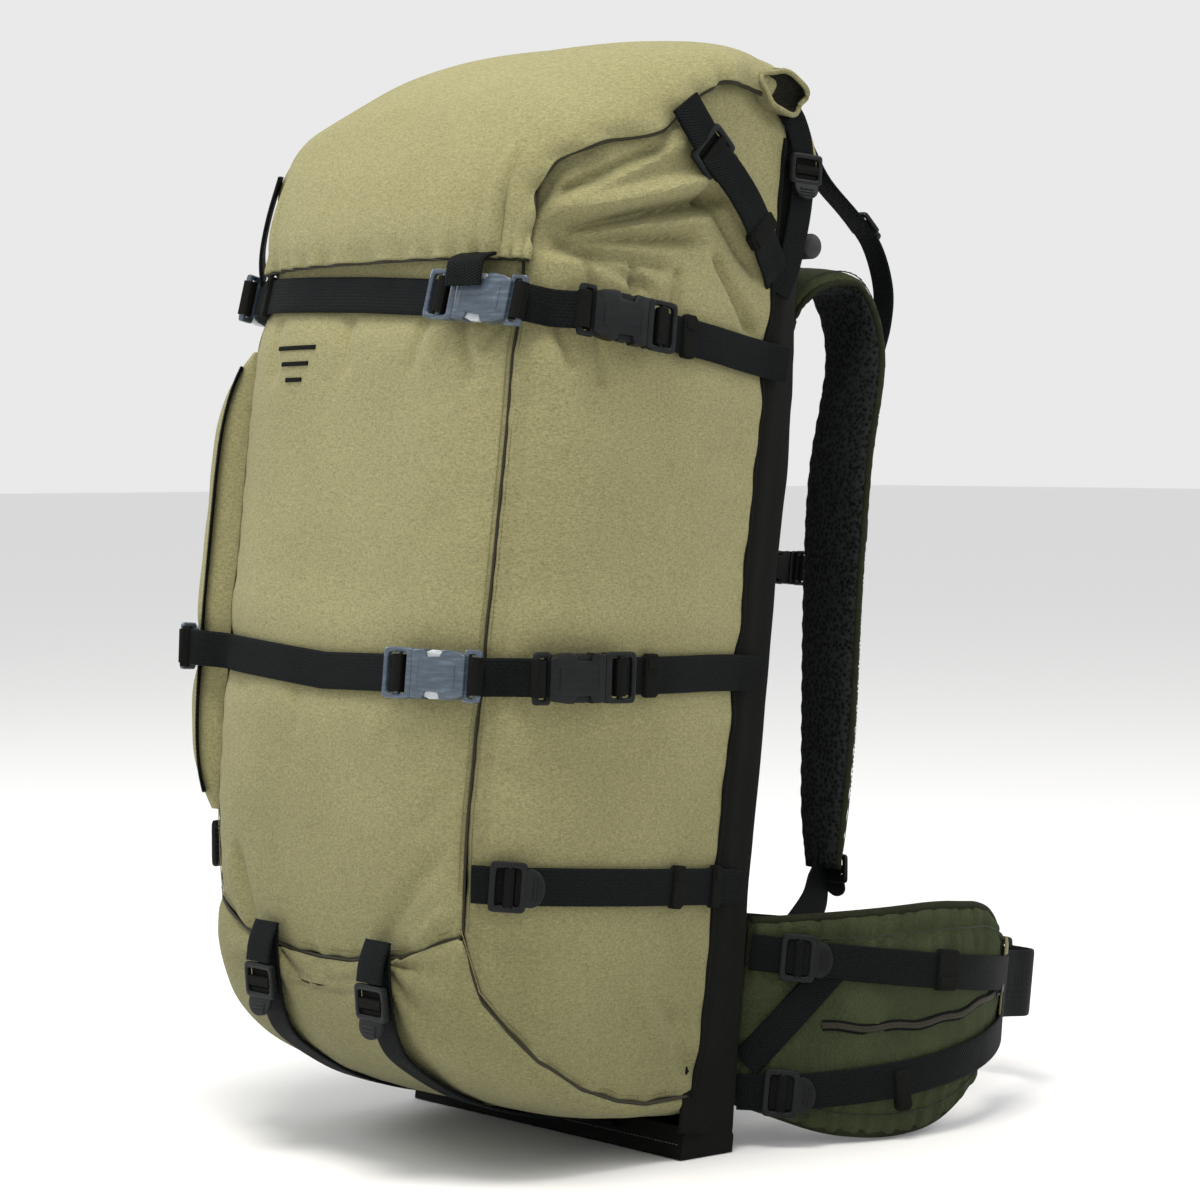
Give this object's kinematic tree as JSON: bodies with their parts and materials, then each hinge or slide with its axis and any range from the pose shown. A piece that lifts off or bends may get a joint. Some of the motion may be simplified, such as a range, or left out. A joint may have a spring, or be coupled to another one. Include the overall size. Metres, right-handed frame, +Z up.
{
  "type": "hunting backpack",
  "caption": "Tall framed backpack with domed lid, compression straps and side release buckles, long side pocket, shoulder straps and winged hip belt, standing on its base.",
  "frame": {"origin": "point on the flat underside of the base shelf, on the floor, under the frame's plane and midway between its sides", "axes": "+X to the wearer's right, -Y out of the bag's front, +Y towards the wearer's back, +Z up; the pack leans back 7 degrees about X"},
  "size_m": [0.429, 0.6189, 0.7634],
  "materials": {
    "bag_cloth": "khaki woven stretch cloth, melange",
    "black_cloth": "black woven cloth over foam",
    "olive_cloth": "olive padded cloth",
    "webbing": "black woven nylon webbing",
    "black_plastic": "moulded, semi-gloss",
    "grey_plastic": "moulded, glossy blue-grey",
    "stay_metal": "plain drawn tube",
    "frame_plastic": "satin black"
  },
  "bodies": {
    "pack": {"back_pad": "black_cloth", "back_panel": "black_cloth", "base_shelf": "black_cloth", "bottom_panel": "bag_cloth", "frame_crossbar": "frame_plastic", "frame_sheet": "frame_plastic", "frame_stay_left": "stay_metal", "frame_stay_right": "stay_metal", "front_panel": "bag_cloth", "inner_back": "bag_cloth", "lash_strap_left": "webbing", "lash_strap_right": "webbing", "lumbar_pad": "black_cloth", "mid_buckle_front_socket": "grey_plastic", "mid_buckle_left_socket": "grey_plastic", "mid_buckle_right_socket": "black_plastic", "mid_strap_front_left": "webbing", "mid_strap_front_right": "webbing", "mid_strap_left": "webbing", "mid_strap_right": "webbing", "side_panel_left": "bag_cloth", "side_panel_right": "bag_cloth", "side_pocket_left": "bag_cloth", "side_strap_left": "webbing", "side_strap_right": "webbing", "top_buckle_front_socket": "grey_plastic", "top_buckle_left_socket": "grey_plastic", "top_buckle_right_socket": "black_plastic", "top_collar": "bag_cloth", "top_strap_front_left": "webbing", "top_strap_front_right": "webbing", "top_strap_left": "webbing", "top_strap_right": "webbing"},
    "lid": {"lid": "bag_cloth"},
    "harness": {"shoulder_strap_left": "olive_cloth", "shoulder_strap_right": "olive_cloth", "sternum_buckle_socket": "black_plastic"},
    "sternum_plug": {"sternum_buckle_plug": "black_plastic"},
    "wing_right": {"hip_wing_right": "olive_cloth", "hip_webbing_right": "webbing", "hip_buckle_plug": "black_plastic"},
    "wing_left": {"hip_wing_left": "olive_cloth", "hip_webbing_left": "webbing", "hip_buckle_socket": "black_plastic"},
    "side_lock_right_body": {"side_lock_right": "black_plastic"},
    "lash_lock_right_body": {"lash_lock_right": "black_plastic"},
    "lid_lock_right_body": {"lid_lock_right": "black_plastic"},
    "hip_lock_upper_right_body": {"hip_lock_upper_right": "black_plastic"},
    "hip_lock_lower_right_body": {"hip_lock_lower_right": "black_plastic"},
    "side_lock_left_body": {"side_lock_left": "black_plastic"},
    "lash_lock_left_body": {"lash_lock_left": "black_plastic"},
    "lid_lock_left_body": {"lid_lock_left": "black_plastic"},
    "hip_lock_upper_left_body": {"hip_lock_upper_left": "black_plastic"},
    "hip_lock_lower_left_body": {"hip_lock_lower_left": "black_plastic"},
    "top_buckle_front_plug_body": {"top_buckle_front_plug": "grey_plastic"},
    "top_buckle_right_plug_body": {"top_buckle_right_plug": "black_plastic"},
    "top_buckle_left_plug_body": {"top_buckle_left_plug": "grey_plastic"},
    "mid_buckle_front_plug_body": {"mid_buckle_front_plug": "grey_plastic"},
    "mid_buckle_right_plug_body": {"mid_buckle_right_plug": "black_plastic"},
    "mid_buckle_left_plug_body": {"mid_buckle_left_plug": "grey_plastic"}
  },
  "joints": [
    {"name": "lid_hinge", "type": "hinge", "parent": "pack", "child": "lid", "pos_m": [0, 0.11582, 0.70708], "axis": [-1, 0, 0], "range_deg": [0, 100]},
    {"name": "harness_swing", "type": "hinge", "parent": "pack", "child": "harness", "pos_m": [0, 0.111, 0.58576], "axis": [1, 0, 0], "range_deg": [-5, 20]},
    {"name": "sternum_plug_slide", "type": "slide", "parent": "harness", "child": "sternum_plug", "axis": [1, 0, 0], "range_m": [0, 0.02]},
    {"name": "wing_swing_right", "type": "hinge", "parent": "pack", "child": "wing_right", "pos_m": [0.124, 0.02581, 0.00683], "axis": [0, -0.1219, -0.9925], "range_deg": [-3, 35]},
    {"name": "wing_swing_left", "type": "hinge", "parent": "pack", "child": "wing_left", "pos_m": [-0.124, 0.02581, 0.00683], "axis": [0, 0.1219, 0.9925], "range_deg": [-3, 35]},
    {"name": "side_lock_right_tilt", "type": "hinge", "parent": "pack", "child": "side_lock_right_body", "pos_m": [0.15947, -0.20779, 0.20178], "axis": [-0.064, -0.0382, -0.9972], "range_deg": [0, 25]},
    {"name": "lash_lock_right_tilt", "type": "hinge", "parent": "pack", "child": "lash_lock_right_body", "pos_m": [0.076, -0.24364, 0.1297], "axis": [-1, 0, 0], "range_deg": [0, 25]},
    {"name": "lid_lock_right_tilt", "type": "hinge", "parent": "lid", "child": "lid_lock_right_body", "pos_m": [0.1745, -0.03869, 0.68777], "axis": [0, -0.7031, -0.7111], "range_deg": [0, 25]},
    {"name": "hip_lock_upper_right_tilt", "type": "hinge", "parent": "wing_right", "child": "hip_lock_upper_right_body", "pos_m": [0.15749, 0.05009, 0.1318], "axis": [0, -0.1219, -0.9925], "range_deg": [0, 25]},
    {"name": "hip_lock_lower_right_tilt", "type": "hinge", "parent": "wing_right", "child": "hip_lock_lower_right_body", "pos_m": [0.15531, 0.03612, 0.03881], "axis": [0, -0.1219, -0.9925], "range_deg": [0, 25]},
    {"name": "side_lock_left_tilt", "type": "hinge", "parent": "pack", "child": "side_lock_left_body", "pos_m": [-0.15947, -0.20779, 0.20178], "axis": [-0.064, 0.0382, 0.9972], "range_deg": [0, 25]},
    {"name": "lash_lock_left_tilt", "type": "hinge", "parent": "pack", "child": "lash_lock_left_body", "pos_m": [-0.052, -0.24364, 0.1297], "axis": [-1, 0, 0], "range_deg": [0, 25]},
    {"name": "lid_lock_left_tilt", "type": "hinge", "parent": "lid", "child": "lid_lock_left_body", "pos_m": [-0.1745, -0.03869, 0.68777], "axis": [0, 0.7031, 0.7111], "range_deg": [0, 25]},
    {"name": "hip_lock_upper_left_tilt", "type": "hinge", "parent": "wing_left", "child": "hip_lock_upper_left_body", "pos_m": [-0.15749, 0.05009, 0.1318], "axis": [0, 0.1219, 0.9925], "range_deg": [0, 25]},
    {"name": "hip_lock_lower_left_tilt", "type": "hinge", "parent": "wing_left", "child": "hip_lock_lower_left_body", "pos_m": [-0.15531, 0.03612, 0.03881], "axis": [0, 0.1219, 0.9925], "range_deg": [0, 25]},
    {"name": "top_buckle_front_slide", "type": "slide", "parent": "pack", "child": "top_buckle_front_plug_body", "axis": [-0.9596, -0.2672, 0.0878], "range_m": [0, 0.028]},
    {"name": "top_buckle_right_slide", "type": "slide", "parent": "pack", "child": "top_buckle_right_plug_body", "axis": [0.0859, 0.9835, -0.1594], "range_m": [0, 0.028]},
    {"name": "top_buckle_left_slide", "type": "slide", "parent": "pack", "child": "top_buckle_left_plug_body", "axis": [-0.3174, 0.9349, -0.1588], "range_m": [0, 0.028]},
    {"name": "mid_buckle_front_slide", "type": "slide", "parent": "pack", "child": "mid_buckle_front_plug_body", "axis": [-0.964, -0.266, 0.0054], "range_m": [0, 0.028]},
    {"name": "mid_buckle_right_slide", "type": "slide", "parent": "pack", "child": "mid_buckle_right_plug_body", "axis": [0.1191, 0.9926, -0.0221], "range_m": [0, 0.028]},
    {"name": "mid_buckle_left_slide", "type": "slide", "parent": "pack", "child": "mid_buckle_left_plug_body", "axis": [-0.1182, 0.991, -0.063], "range_m": [0, 0.028]}
  ]
}
